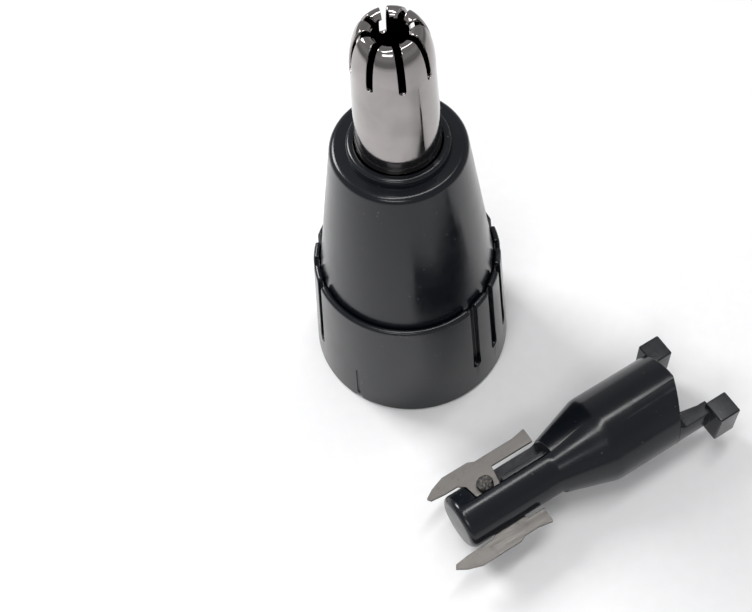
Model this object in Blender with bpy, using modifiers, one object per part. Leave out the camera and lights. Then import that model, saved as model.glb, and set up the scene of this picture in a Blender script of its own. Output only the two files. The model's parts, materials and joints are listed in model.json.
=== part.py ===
"""Cutting head of a nose hair trimmer, with its rotary cutter taken out and lying beside it.

Metres, +Z up. The origin is the centre of the head's open base, where the head fits its handle.
The head stands on its base along +Z. The rotor is drawn upright about its own axis, tip up, and
an empty lays it down on the surface in front of the head.
"""
import math

import bmesh
import bpy
from mathutils import Matrix, Vector

MM = 0.001

# Lock ring: the grooved collar that the head stands on.
RING_BASE_RADIUS = 10.5 * MM
RING_TOP_RADIUS = 9.5 * MM
RING_HEIGHT = 15.3 * MM
RING_BORE = 9.0 * MM
RING_LIP_BORE = 8.95 * MM
RING_SHOULDER_BORE = 8.5 * MM
RING_SHOULDER_LOW = 12.5 * MM
RING_SHOULDER_HIGH = 14.0 * MM
RING_EDGE = 0.4 * MM
GROOVE_COUNT = 5
GROOVE_PITCH = 17.0
GROOVE_MIDDLE = 71.0
GROOVE_WIDTH = 0.95 * MM
GROOVE_DEPTH = 0.6 * MM
GROOVE_LOW = 4.1 * MM
MARK_ANGLE = -40.0
MARK_WIDTH = 0.35 * MM
MARK_DEPTH = 0.15 * MM
MARK_TOP = 5.6 * MM
NOTCH_WIDTH = 0.8 * MM
NOTCH_HEIGHT = 0.5 * MM

# Cone housing: the tapered shell above the lock ring, and its skirt inside the ring.
CONE_BASE_RADIUS = 8.75 * MM
CONE_TOP_RADIUS = 6.33 * MM
CONE_TOP = 33.45 * MM
CONE_EDGE = 0.6 * MM
CONE_HOLE = 4.3 * MM
CONE_ROOF = 1.2 * MM
CONE_SHOULDER = 14.2 * MM
SKIRT_RADIUS = 8.2 * MM
SKIRT_BORE = 7.0 * MM
SKIRT_LOW = 5.5 * MM
CONE_BORE_TOP = 5.75 * MM
CLIP_GROOVE_RADIUS = 7.85 * MM
CLIP_GROOVE_LOW = 11.6 * MM
CLIP_GROOVE_HIGH = 12.35 * MM

# Slotted guard: the thin steel tube with its domed, slotted end.
GUARD_WALL = 0.3 * MM
GUARD_BASE_RADIUS = 4.0 * MM
GUARD_DOME_RADIUS = 3.58 * MM
GUARD_DOME_START = 44.0 * MM
GUARD_TOP = 48.5 * MM
GUARD_CREST_RADIUS = 2.2 * MM
GUARD_HOLE_RADIUS = 1.5 * MM
GUARD_LIP_DROP = 0.55 * MM
GUARD_FLANGE_RADIUS = 5.4 * MM
GUARD_FLANGE_TOP = 32.05 * MM
SLOT_COUNT = 8
SLOT_PHASE = -82.7
SLOT_WIDTH = 0.62 * MM
SLOT_LOW = 44.4 * MM

# Small pieces inside the head.
RETAINER = (4.75 * MM, 5.5 * MM, 30.05 * MM, 31.5 * MM)
GUIDE_BORE = 4.9 * MM
GUIDE_RADIUS = 5.4 * MM
GUIDE_FLANGE_RADIUS = 6.6 * MM
GUIDE_LOW = 20.2 * MM
GUIDE_TOP = 29.8 * MM
GUIDE_FLANGE = 0.8 * MM
COLLAR = (4.05 * MM, 4.75 * MM, 33.5 * MM, 34.15 * MM)
CLIP_RADIUS = 8.3 * MM
CLIP_WIRE = 0.3 * MM
CLIP_OPENING = 28.0
SEAL_RADIUS = 7.6 * MM
SEAL_SECTION = 0.4 * MM
SEAL_HEIGHT = 4.95 * MM
BAYONET_RADIUS = 8.75 * MM
BAYONET_BORE = 7.95 * MM
BAYONET_LUG_RADIUS = 7.1 * MM
BAYONET_LOW = 0.9 * MM
BAYONET_STEP = 2.2 * MM
BAYONET_TOP = 3.6 * MM
BAYONET_GAP = 8.0 * MM
DETENT_RADIUS = 8.45 * MM
DETENT_RISE = 0.3 * MM
DETENT_THICKNESS = 0.15 * MM
DETENT_LOW = 8.4 * MM
DETENT_HEIGHT = 2.0 * MM
DETENT_SPAN = 46.0

# Rotor, drawn upright: its feet at height 0 and its tip at ROTOR_LENGTH.
ROTOR_LENGTH = 30.0 * MM
NECK_RADIUS = 2.85 * MM
NECK_LOW = 19.2 * MM
NECK_EDGE = 0.7 * MM
ROTOR_SKIRT_RADIUS = 4.65 * MM
ROTOR_SKIRT_TOP = 13.2 * MM
ROTOR_RIM = 4.2 * MM
RIM_SLANT = 0.45
ROTOR_RIM_EDGE = 0.2 * MM
ROTOR_BORE = 3.75 * MM
ROTOR_BORE_TOP = 12.6 * MM
ROTOR_BORE_END = 17.2 * MM
ROTOR_BORE_END_RADIUS = 2.3 * MM
CHANNEL_TOP = 27.7 * MM
CHANNEL_LOW = 18.7 * MM
WEB_HALF = 0.4 * MM
RIB = (0.95 * MM, 1.45 * MM, 1.3 * MM, 5.2 * MM)
LEG_WIDTH = 3.2 * MM
LEG_INNER = 3.35 * MM
LEG_OUTER = 4.5 * MM
LEG_TOP = 7.6 * MM
NEAR_FOOT = (3.5 * MM, 6.0 * MM, 0.0)
FAR_FOOT = (2.85 * MM, 5.3 * MM, 1.65 * MM)
FOOT_WIDTH = 4.4 * MM
FOOT_LENGTH = 2.45 * MM
FOOT_BEVEL = 0.15 * MM
GUSSET_HALF = 0.6 * MM
GUSSET_TOP = 7.2 * MM
GUSSET_REACH = 1.9 * MM

# Blades and the stakes that hold them.
BLADE_RADIUS = 4.8 * MM
BLADE_WAIST = 4.5 * MM
BLADE_INNER = 3.15 * MM
BLADE_THICKNESS = 0.3 * MM
BLADE_LIFT = 0.15 * MM
FAR_BLADE_ENDS = (18.8 * MM, 31.2 * MM)
NEAR_BLADE_ENDS = (21.8 * MM, 32.6 * MM)
TAB_INNER = 0.75 * MM
TAB_LOW = 24.2 * MM
TAB_HIGH = 26.8 * MM
STAKE_AXIAL = 25.5 * MM
STAKE_OFFSET = 1.8 * MM
STAKE_HEAD = 0.95 * MM
STAKE_SHANK = 0.4 * MM
STAKE_HOLE = 0.55 * MM
STAKE_TOP = 1.35 * MM

# Drive pieces inside the rotor's skirt.
HUB_RADIUS = 3.55 * MM
HUB_BORE = 1.75 * MM
HUB_BOSS_RADIUS = 2.5 * MM
HUB_LOW = 9.6 * MM
HUB_TOP = 12.0 * MM
HUB_BOSS_LOW = 8.0 * MM
BUSH = (1.0 * MM, 1.6 * MM, 7.2 * MM, 13.2 * MM)
SPRING_RADIUS = 2.2 * MM
SPRING_WIRE = 0.2 * MM
SPRING_LOW = 12.5 * MM
SPRING_TOP = 15.6 * MM
SPRING_TURNS = 4

# Where the rotor lies: its tip on the surface and the turn of its axis from +X.
ROTOR_TIP = (1.57 * MM, -25.5 * MM)
ROTOR_YAW = 25.5


def clear_scene():
    """Empty the scene so that the model starts from nothing."""
    for obj in list(bpy.data.objects):
        bpy.data.objects.remove(obj, do_unlink=True)


def new_collection(name):
    """A collection linked to the scene."""
    collection = bpy.data.collections.new(name)
    bpy.context.scene.collection.children.link(collection)
    return collection


def new_material(name, color, roughness, metallic=0.0):
    """A plain Principled material."""
    material = bpy.data.materials.new(name)
    material.use_nodes = True
    shader = material.node_tree.nodes["Principled BSDF"]
    shader.inputs["Base Color"].default_value = (*color, 1.0)
    shader.inputs["Roughness"].default_value = roughness
    shader.inputs["Metallic"].default_value = metallic
    return material


def add_object(name, data, material, parent=None):
    """Link a new object with its material into the part's collection."""
    obj = bpy.data.objects.new(name, data)
    if material:
        data.materials.append(material)
    PARTS.objects.link(obj)
    obj.parent = parent
    return obj


def arc(centre, radius, start, end, count):
    """Points (radius, height) on an arc, angles in degrees from the outward direction."""
    points = []
    for step in range(count + 1):
        angle = math.radians(start + (end - start) * step / count)
        points.append((centre[0] + radius * math.cos(angle), centre[1] + radius * math.sin(angle)))
    return points


def ring_profile(inner, outer, low, high, edge):
    """A ring's closed section with two small outer chamfers."""
    return [
        (inner, high),
        (outer - edge, high),
        (outer, high - edge),
        (outer, low + edge),
        (outer - edge, low),
        (inner, low),
    ]


def turned(name, profile, material, steps=48, closed=True, parent=None):
    """A solid turned about local Z from a profile that runs down its outer side."""
    mesh = bpy.data.meshes.new(name)
    count = len(profile)
    edges = [(i, i + 1) for i in range(count - 1)]
    if closed:
        edges.append((count - 1, 0))
    mesh.from_pydata([(r, 0.0, z) for r, z in profile], edges, [])
    obj = add_object(name, mesh, material, parent)
    screw = obj.modifiers.new("Turn", "SCREW")
    screw.angle = math.tau
    screw.steps = steps
    screw.render_steps = steps
    screw.use_merge_vertices = True
    screw.merge_threshold = 0.00001
    screw.use_smooth_shade = True
    return obj


def box_mesh(bm, low, high, turn=0.0):
    """Add a box between two corners, turned about Z by an angle in degrees."""
    low = Vector(low)
    high = Vector(high)
    size = high - low
    place = Matrix.Rotation(math.radians(turn), 4, "Z") @ Matrix.Translation((low + high) / 2)
    made = bmesh.ops.create_cube(bm, size=1.0, matrix=place @ Matrix.Diagonal((*size, 1.0)))
    return made["verts"]


def helper(name, bm, parent=None):
    """A cutter or a joining shape, kept in the cutters' collection and out of the part."""
    mesh = bpy.data.meshes.new(name)
    bm.to_mesh(mesh)
    bm.free()
    obj = bpy.data.objects.new(name, mesh)
    obj.parent = parent
    obj.hide_render = True
    obj.display_type = "WIRE"
    CUTTERS.objects.link(obj)
    return obj


def combine(obj, other, operation):
    """Cut or join an object with a helper shape."""
    boolean = obj.modifiers.new(other.name, "BOOLEAN")
    boolean.operation = operation
    boolean.solver = "EXACT"
    boolean.object = other


def radial_slot(bm, inner, outer, low, high, width, turn, lean=0.0):
    """An upright slot cutter with a half-round lower end, leaning in by a given slope."""
    half = width / 2
    outline = [(half, high), (-half, high)]
    for step in range(7):
        angle = math.pi + math.pi * step / 6
        outline.append((half * math.cos(angle), low + half + half * math.sin(angle)))
    near = [bm.verts.new((inner - lean * (z - low), y, z)) for y, z in outline]
    far = [bm.verts.new((outer, y, z)) for y, z in outline]
    bm.faces.new(near)
    bm.faces.new(list(reversed(far)))
    for i, vertex in enumerate(near):
        nxt = (i + 1) % len(near)
        bm.faces.new((near[nxt], vertex, far[i], far[nxt]))
    spin = Matrix.Rotation(math.radians(turn), 4, "Z")
    bmesh.ops.transform(bm, matrix=spin, verts=near + far)


def outward(bm):
    """Turn every face of a closed shape outwards."""
    bmesh.ops.recalc_face_normals(bm, faces=bm.faces[:])


def front_angle(degrees):
    """Angle from +X of a direction counted from the head's front (-Y) towards its right (+X)."""
    return degrees - 90.0


# The head ---------------------------------------------------------------------------------


def make_cone_housing(material):
    """Tapered shell with a flat top, and a skirt that the lock ring turns on."""
    edge = arc((CONE_TOP_RADIUS - CONE_EDGE, CONE_TOP - CONE_EDGE), CONE_EDGE, 90, 8, 4)
    roof = CONE_TOP - CONE_ROOF
    profile = [(CONE_HOLE, CONE_TOP)] + edge + [
        (CONE_BASE_RADIUS, RING_HEIGHT),
        (CONE_BASE_RADIUS, CONE_SHOULDER),
        (SKIRT_RADIUS, CONE_SHOULDER),
        (SKIRT_RADIUS, CLIP_GROOVE_HIGH),
        (CLIP_GROOVE_RADIUS, CLIP_GROOVE_HIGH),
        (CLIP_GROOVE_RADIUS, CLIP_GROOVE_LOW),
        (SKIRT_RADIUS, CLIP_GROOVE_LOW),
        (SKIRT_RADIUS, SKIRT_LOW),
        (SKIRT_BORE, SKIRT_LOW),
        (SKIRT_BORE, GUIDE_LOW - GUIDE_FLANGE),
        (CONE_BORE_TOP, GUIDE_TOP - GUIDE_FLANGE),
        (CONE_BORE_TOP, roof),
        (CONE_HOLE, roof),
    ]
    return turned("cone_housing", profile, material)


def make_lock_ring(material):
    """Grooved collar: five grip grooves on each side, a front mark and a notch below it."""
    edge = arc((RING_TOP_RADIUS - RING_EDGE, RING_HEIGHT - RING_EDGE), RING_EDGE, 90, 5, 3)
    profile = [(RING_LIP_BORE, RING_HEIGHT - 0.1 * MM)] + edge + [
        (RING_BASE_RADIUS, RING_EDGE),
        (RING_BASE_RADIUS - RING_EDGE / 2, 0.0),
        (RING_BORE, 0.0),
        (RING_BORE, RING_SHOULDER_LOW),
        (RING_SHOULDER_BORE, RING_SHOULDER_LOW),
        (RING_SHOULDER_BORE, RING_SHOULDER_HIGH),
        (RING_LIP_BORE, RING_SHOULDER_HIGH),
    ]
    ring = turned("lock_ring", profile, material, steps=72)
    taper = (RING_BASE_RADIUS - RING_TOP_RADIUS) / RING_HEIGHT
    outside = RING_BASE_RADIUS - taper * GROOVE_LOW
    bm = bmesh.new()
    for side in (0.0, 180.0):
        for index in range(GROOVE_COUNT):
            angle = GROOVE_MIDDLE + GROOVE_PITCH * (index - (GROOVE_COUNT - 1) / 2)
            radial_slot(bm, outside - GROOVE_DEPTH, outside + 1.5 * MM, GROOVE_LOW,
                        RING_HEIGHT + 1.0 * MM, GROOVE_WIDTH, front_angle(angle) + side, taper)
    mark = RING_BASE_RADIUS - MARK_DEPTH
    lift = NOTCH_HEIGHT + 0.4 * MM
    radial_slot(bm, mark - taper * lift, RING_BASE_RADIUS + MM, lift, MARK_TOP, MARK_WIDTH,
                front_angle(MARK_ANGLE), taper)
    outward(bm)
    combine(ring, helper("grip_grooves", bm), "DIFFERENCE")
    bm = bmesh.new()
    box_mesh(bm, (RING_BASE_RADIUS - 0.5 * MM, -NOTCH_WIDTH / 2, -MM),
             (RING_BASE_RADIUS + MM, NOTCH_WIDTH / 2, NOTCH_HEIGHT), front_angle(MARK_ANGLE))
    combine(ring, helper("mark_notch", bm), "DIFFERENCE")
    return ring


def guard_profile():
    """Outer side of the guard: rolled lip, crest, dome, tapered tube and flange, going down."""
    lip_low = GUARD_TOP - GUARD_LIP_DROP
    points = [(GUARD_HOLE_RADIUS, lip_low)]
    roll = GUARD_CREST_RADIUS - GUARD_HOLE_RADIUS
    for step in range(1, 4):
        angle = math.pi / 2 * step / 3
        points.append((GUARD_CREST_RADIUS - roll * math.cos(angle),
                       lip_low + GUARD_LIP_DROP * math.sin(angle)))
    wide = GUARD_DOME_RADIUS - GUARD_CREST_RADIUS
    tall = GUARD_TOP - GUARD_DOME_START
    for step in range(1, 7):
        angle = math.pi / 2 * (1 - step / 6)
        points.append((GUARD_CREST_RADIUS + wide * math.cos(angle),
                       GUARD_DOME_START + tall * math.sin(angle)))
    flare = GUARD_FLANGE_TOP + 0.5 * MM
    points += [(GUARD_BASE_RADIUS, flare), (GUARD_BASE_RADIUS + 0.15 * MM, flare - 0.35 * MM)]
    points += [(GUARD_BASE_RADIUS + 0.5 * MM, GUARD_FLANGE_TOP)]
    points += [(GUARD_FLANGE_RADIUS, GUARD_FLANGE_TOP)]
    return points


def make_slotted_guard(material):
    """Thin drawn tube, flanged below, with eight slots through its domed end."""
    guard = turned("slotted_guard", guard_profile(), material, steps=48, closed=False)
    wall = guard.modifiers.new("Wall", "SOLIDIFY")
    wall.thickness = GUARD_WALL
    wall.offset = -1.0
    bm = bmesh.new()
    for index in range(SLOT_COUNT):
        radial_slot(bm, 1.2 * MM, 4.6 * MM, SLOT_LOW, GUARD_TOP + MM, SLOT_WIDTH,
                    SLOT_PHASE + 360.0 / SLOT_COUNT * index)
    outward(bm)
    combine(guard, helper("guard_slots", bm), "DIFFERENCE")
    return guard


def make_bayonet_ring(material):
    """Ring with three inward lugs that hook over the handle's studs."""
    profile = [
        (BAYONET_LUG_RADIUS, BAYONET_TOP),
        (BAYONET_RADIUS, BAYONET_TOP),
        (BAYONET_RADIUS, BAYONET_LOW),
        (BAYONET_BORE, BAYONET_LOW),
        (BAYONET_BORE, BAYONET_STEP),
        (BAYONET_LUG_RADIUS, BAYONET_STEP),
    ]
    ring = turned("bayonet_ring", profile, material)
    bm = bmesh.new()
    for index in range(3):
        box_mesh(bm, (2.0 * MM, -BAYONET_GAP / 2, BAYONET_STEP - MM),
                 (BAYONET_BORE - 0.05 * MM, BAYONET_GAP / 2, BAYONET_TOP + MM), 120.0 * index)
    combine(ring, helper("lug_gaps", bm), "DIFFERENCE")
    return ring


def make_snap_ring(material):
    """Open wire clip in the skirt's groove, which keeps the lock ring on."""
    curve = bpy.data.curves.new("snap_ring", "CURVE")
    curve.dimensions = "3D"
    curve.bevel_depth = CLIP_WIRE
    curve.bevel_resolution = 1
    curve.use_fill_caps = True
    spline = curve.splines.new("POLY")
    count = 40
    spline.points.add(count - 1)
    middle = (CLIP_GROOVE_LOW + CLIP_GROOVE_HIGH) / 2
    for index, point in enumerate(spline.points):
        share = index / (count - 1)
        angle = math.radians(90 + CLIP_OPENING / 2 + (360 - CLIP_OPENING) * share)
        point.co = (CLIP_RADIUS * math.cos(angle), CLIP_RADIUS * math.sin(angle), middle, 1.0)
    return add_object("snap_ring", curve, material)


def make_seal_ring(material):
    """Rubber ring below the skirt, against the handle."""
    section = arc((SEAL_RADIUS, SEAL_HEIGHT), SEAL_SECTION, 90, -225, 7)
    return turned("seal_ring", section, material, steps=40)


def make_detent_spring(material):
    """Bowed steel strip between the skirt and the lock ring, which gives the twist its click."""
    count = 16
    bm = bmesh.new()
    rows = []
    for index in range(count + 1):
        share = index / count
        angle = math.radians(90 + DETENT_SPAN * (share - 0.5))
        radius = DETENT_RADIUS + DETENT_RISE * math.sin(math.pi * share) ** 4
        x = radius * math.cos(angle)
        y = radius * math.sin(angle)
        rows.append((bm.verts.new((x, y, DETENT_LOW)),
                     bm.verts.new((x, y, DETENT_LOW + DETENT_HEIGHT))))
    for first, second in zip(rows, rows[1:]):
        bm.faces.new((first[0], first[1], second[1], second[0]))
    mesh = bpy.data.meshes.new("detent_spring")
    bm.to_mesh(mesh)
    bm.free()
    strip = add_object("detent_spring", mesh, material)
    wall = strip.modifiers.new("Wall", "SOLIDIFY")
    wall.thickness = DETENT_THICKNESS
    wall.offset = 0.0
    return strip


def make_head(black, inner, steel, rubber):
    """The standing head: shell, collar, guard and the pieces inside."""
    make_cone_housing(black)
    make_lock_ring(black)
    make_slotted_guard(steel)
    turned("tube_collar", ring_profile(*COLLAR, 0.2 * MM), inner)
    turned("guard_retainer", ring_profile(*RETAINER, 0.2 * MM), inner)
    guide = [
        (GUIDE_BORE, GUIDE_TOP),
        (GUIDE_RADIUS, GUIDE_TOP),
        (GUIDE_RADIUS, GUIDE_LOW + GUIDE_FLANGE),
        (GUIDE_FLANGE_RADIUS, GUIDE_LOW + GUIDE_FLANGE),
        (GUIDE_FLANGE_RADIUS, GUIDE_LOW),
        (GUIDE_BORE, GUIDE_LOW),
    ]
    turned("rotor_guide", guide, inner, steps=40)
    make_snap_ring(steel)
    make_seal_ring(rubber)
    make_bayonet_ring(inner)
    make_detent_spring(steel)


# The rotor --------------------------------------------------------------------------------


def make_rotor_frame():
    """Empty that lays the upright rotor down, its near side along local +X and up along +Y."""
    frame = bpy.data.objects.new("rotor_frame", None)
    PARTS.objects.link(frame)
    yaw = math.radians(ROTOR_YAW)
    frame.location = (ROTOR_TIP[0] + ROTOR_LENGTH * math.cos(yaw),
                      ROTOR_TIP[1] + ROTOR_LENGTH * math.sin(yaw), ROTOR_SKIRT_RADIUS)
    frame.rotation_euler = (math.radians(90), 0.0, yaw - math.radians(90))
    return frame


def make_rotor_carrier(material, frame):
    """Bottle-shaped moulding: split neck, taper, hollow skirt, and two legs with block feet."""
    tip = arc((NECK_RADIUS - NECK_EDGE, ROTOR_LENGTH - NECK_EDGE), NECK_EDGE, 90, 0, 3)
    shoulder = ROTOR_SKIRT_TOP
    profile = [(0.0, ROTOR_LENGTH)] + tip + [
        (NECK_RADIUS, NECK_LOW),
        (ROTOR_SKIRT_RADIUS - 0.15 * MM, shoulder + 0.6 * MM),
        (ROTOR_SKIRT_RADIUS, shoulder - 0.4 * MM),
        (ROTOR_SKIRT_RADIUS, ROTOR_RIM + ROTOR_RIM_EDGE),
        (ROTOR_SKIRT_RADIUS - ROTOR_RIM_EDGE, ROTOR_RIM),
        (ROTOR_BORE, ROTOR_RIM),
        (ROTOR_BORE, ROTOR_BORE_TOP),
        (ROTOR_BORE_END_RADIUS, ROTOR_BORE_END),
        (0.0, ROTOR_BORE_END),
    ]
    carrier = turned("rotor_carrier", profile, material, closed=False, parent=frame)
    combine(carrier, make_rim_cut(frame), "DIFFERENCE")
    for side, turn, foot in (("near", 0.0, NEAR_FOOT), ("far", 180.0, FAR_FOOT)):
        inner, outer, low = foot
        high = low + FOOT_LENGTH
        bm = bmesh.new()
        box_mesh(bm, (LEG_INNER, -LEG_WIDTH / 2, high - 0.5 * MM),
                 (LEG_OUTER, LEG_WIDTH / 2, LEG_TOP), turn)
        combine(carrier, helper("leg_" + side, bm, frame), "UNION")
        bm = bmesh.new()
        block = box_mesh(bm, (inner, -FOOT_WIDTH / 2, low), (outer, FOOT_WIDTH / 2, high), turn)
        rim = [edge for edge in bm.edges if edge.verts[0] in block]
        bmesh.ops.bevel(bm, geom=rim, offset=FOOT_BEVEL, segments=1, affect="EDGES")
        combine(carrier, helper("foot_" + side, bm, frame), "UNION")
        channel = bmesh.new()
        box_mesh(channel, (-5.0 * MM, 0.0, CHANNEL_LOW), (-WEB_HALF, 5.0 * MM, CHANNEL_TOP), turn)
        combine(carrier, helper("channel_" + side, channel, frame), "DIFFERENCE")
        rib = bmesh.new()
        box_mesh(rib, (-RIB[1], -0.3 * MM, CHANNEL_LOW - 0.5 * MM),
                 (-RIB[0], RIB[2], CHANNEL_LOW + RIB[3]), turn)
        combine(carrier, helper("rib_" + side, rib, frame), "UNION")
    combine(carrier, make_gusset(frame), "UNION")
    return carrier


def make_web(name, frame, corners, half):
    """Flat plate across the rotor: its outline in the plane of the feet, half as thick each way."""
    bm = bmesh.new()
    sides = []
    for y in (-half, half):
        sides.append([bm.verts.new((x, y, z)) for x, z in corners])
    bm.faces.new(sides[0])
    bm.faces.new(list(reversed(sides[1])))
    for i in range(len(corners)):
        j = (i + 1) % len(corners)
        bm.faces.new((sides[0][j], sides[0][i], sides[1][i], sides[1][j]))
    outward(bm)
    return helper(name, bm, frame)


def make_rim_cut(frame):
    """Wedge that leaves the skirt's rim slanted away from the near foot."""
    reach = ROTOR_SKIRT_RADIUS + MM
    back = 0.5 * MM
    corners = [
        (-back, ROTOR_RIM - RIM_SLANT * back),
        (-back, ROTOR_RIM - MM),
        (reach, ROTOR_RIM - MM),
        (reach, ROTOR_RIM + RIM_SLANT * reach),
    ]
    return make_web("rim_cut", frame, corners, reach)


def make_gusset(frame):
    """Triangular web that stiffens the longer leg against the skirt."""
    foot_top = FOOT_LENGTH - 0.3 * MM
    corners = [
        (LEG_INNER + 0.3 * MM, GUSSET_TOP),
        (LEG_INNER + 0.3 * MM, foot_top),
        (LEG_INNER - 0.5 * MM, foot_top),
        (GUSSET_REACH, GUSSET_TOP),
    ]
    return make_web("gusset", frame, corners, GUSSET_HALF)


def blade_outline(heel, tip):
    """Blade seen flat: (distance out from the axis, height), from the heel round to the tip."""
    return [
        (BLADE_INNER, heel),
        (BLADE_RADIUS, heel),
        (BLADE_WAIST, heel + 1.6 * MM),
        (BLADE_WAIST, TAB_LOW + 0.8 * MM),
        (BLADE_RADIUS, TAB_LOW + 1.5 * MM),
        (BLADE_RADIUS, tip - 2.5 * MM),
        (BLADE_RADIUS - 0.5 * MM, tip - 1.0 * MM),
        (BLADE_RADIUS - 1.1 * MM, tip),
        (BLADE_RADIUS - 1.5 * MM, tip - 0.3 * MM),
        (BLADE_INNER, tip - 1.8 * MM),
        (BLADE_INNER, TAB_HIGH + 1.1 * MM),
        (BLADE_INNER - 0.5 * MM, TAB_HIGH + 0.4 * MM),
        (TAB_INNER, TAB_HIGH),
        (TAB_INNER, TAB_LOW),
        (BLADE_INNER, TAB_LOW - 0.4 * MM),
    ]


def make_blade(name, material, frame, turn, ends):
    """Thin steel blade: a strip beside the neck, with a tab on the flat for its stake."""
    curve = bpy.data.curves.new(name, "CURVE")
    curve.dimensions = "2D"
    curve.fill_mode = "BOTH"
    curve.extrude = BLADE_THICKNESS / 2
    outline = blade_outline(*ends)
    edge = curve.splines.new("POLY")
    edge.points.add(len(outline) - 1)
    edge.use_cyclic_u = True
    for point, (out, height) in zip(edge.points, outline):
        point.co = (-out, height, 0.0, 1.0)
    hole = curve.splines.new("POLY")
    count = 12
    hole.points.add(count - 1)
    hole.use_cyclic_u = True
    for index, point in enumerate(hole.points):
        angle = math.tau * index / count
        point.co = (STAKE_HOLE * math.cos(angle) - STAKE_OFFSET,
                    STAKE_HOLE * math.sin(angle) + STAKE_AXIAL, 0.0, 1.0)
    blade = add_object(name, curve, material, frame)
    middle = BLADE_LIFT + BLADE_THICKNESS / 2
    upright = Matrix.Rotation(math.radians(90), 4, "X")
    spin = Matrix.Rotation(math.radians(turn), 4, "Z")
    blade.matrix_local = spin @ Matrix.Translation((0.0, middle, 0.0)) @ upright
    return blade


def make_stake(name, material, frame, turn):
    """Melted plastic stake: a short shank through the blade and a flattened head."""
    blade_top = BLADE_LIFT + BLADE_THICKNESS
    under_head = blade_top + 0.1 * MM
    profile = [
        (0.0, STAKE_TOP),
        (STAKE_HEAD * 0.55, STAKE_TOP),
        (STAKE_HEAD, STAKE_TOP - 0.3 * MM),
        (STAKE_HEAD * 0.95, under_head),
        (STAKE_SHANK, under_head),
        (STAKE_SHANK, BLADE_LIFT),
        (0.0, BLADE_LIFT),
    ]
    stake = turned(name, profile, material, steps=14, closed=False, parent=frame)
    lay = Matrix.Rotation(math.radians(-90), 4, "X")
    spin = Matrix.Rotation(math.radians(turn), 4, "Z")
    place = Matrix.Translation((-STAKE_OFFSET, 0.0, STAKE_AXIAL))
    stake.matrix_local = spin @ place @ lay
    return stake


def make_thrust_spring(material, frame):
    """Small coil spring round the bush, inside the taper."""
    curve = bpy.data.curves.new("thrust_spring", "CURVE")
    curve.dimensions = "3D"
    curve.bevel_depth = SPRING_WIRE
    curve.bevel_resolution = 1
    curve.use_fill_caps = True
    spline = curve.splines.new("POLY")
    count = SPRING_TURNS * 12 + 1
    spline.points.add(count - 1)
    for index, point in enumerate(spline.points):
        share = index / (count - 1)
        angle = math.tau * SPRING_TURNS * share
        height = SPRING_LOW + (SPRING_TOP - SPRING_LOW) * share
        point.co = (SPRING_RADIUS * math.cos(angle), SPRING_RADIUS * math.sin(angle), height, 1.0)
    return add_object("thrust_spring", curve, material, frame)


def make_rotor(black, inner, steel, brass):
    """The rotary cutter: carrier, two blades with stakes, and the drive pieces in its skirt."""
    frame = make_rotor_frame()
    make_rotor_carrier(black, frame)
    for side, turn, ends in (("far", 0.0, FAR_BLADE_ENDS), ("near", 180.0, NEAR_BLADE_ENDS)):
        make_blade("blade_" + side, steel, frame, turn, ends)
        make_stake("blade_stake_" + side, inner, frame, turn)
    hub = [
        (HUB_BORE, HUB_TOP),
        (HUB_RADIUS, HUB_TOP),
        (HUB_RADIUS, HUB_LOW),
        (HUB_BOSS_RADIUS, HUB_LOW),
        (HUB_BOSS_RADIUS, HUB_BOSS_LOW),
        (HUB_BORE, HUB_BOSS_LOW),
    ]
    turned("drive_hub", hub, inner, steps=32, parent=frame)
    turned("spindle_bush", ring_profile(*BUSH, 0.1 * MM), brass, steps=32, parent=frame)
    make_thrust_spring(steel, frame)


clear_scene()
PARTS = new_collection("nose_hair_trimmer_head")
CUTTERS = new_collection("cutters")
gloss_black = new_material("gloss_black_plastic", (0.015, 0.017, 0.02), 0.25)
inner_black = new_material("inner_black_plastic", (0.02, 0.02, 0.022), 0.5)
bright_steel = new_material("bright_steel", (0.72, 0.7, 0.67), 0.2, 1.0)
soft_rubber = new_material("soft_rubber", (0.03, 0.03, 0.03), 0.8)
turned_brass = new_material("turned_brass", (0.65, 0.48, 0.22), 0.3, 1.0)
make_head(gloss_black, inner_black, bright_steel, soft_rubber)
make_rotor(gloss_black, inner_black, bright_steel, turned_brass)
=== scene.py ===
"""Studio scene of a nose hair trimmer's cutting head, with its rotary cutter lying beside it.

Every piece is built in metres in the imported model's own frame: the head stands on its base
along +Z, and the rotor is shaped upright about its own axis and then laid on the surface.
"""

import json
import math

import bmesh
import bpy
from mathutils import Matrix, Vector, noise


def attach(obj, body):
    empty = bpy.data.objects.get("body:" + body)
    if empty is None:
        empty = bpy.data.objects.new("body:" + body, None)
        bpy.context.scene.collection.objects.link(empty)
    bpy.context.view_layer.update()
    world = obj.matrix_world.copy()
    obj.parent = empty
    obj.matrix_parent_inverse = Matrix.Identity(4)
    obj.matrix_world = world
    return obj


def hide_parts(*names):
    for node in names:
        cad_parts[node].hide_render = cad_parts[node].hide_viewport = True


MM = 0.001

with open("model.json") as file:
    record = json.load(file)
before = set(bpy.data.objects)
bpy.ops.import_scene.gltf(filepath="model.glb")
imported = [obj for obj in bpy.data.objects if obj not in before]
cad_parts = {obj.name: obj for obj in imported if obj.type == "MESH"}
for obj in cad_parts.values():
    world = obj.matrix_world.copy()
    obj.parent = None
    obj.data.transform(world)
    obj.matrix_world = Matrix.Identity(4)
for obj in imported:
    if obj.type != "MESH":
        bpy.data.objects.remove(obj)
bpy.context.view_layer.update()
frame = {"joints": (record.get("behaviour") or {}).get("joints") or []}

# Head sizes, in millimetres. Angles on the head are counted from its front towards its right.
COLLAR_BASE, COLLAR_TOP, COLLAR_HEIGHT = 10.5, 9.5, 15.3
COLLAR_BORE, COLLAR_SHOULDER, COLLAR_LIP = 9.0, 8.5, 8.95
COLLAR_SHOULDER_LOW, COLLAR_SHOULDER_HIGH = 12.5, 14.0
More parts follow.
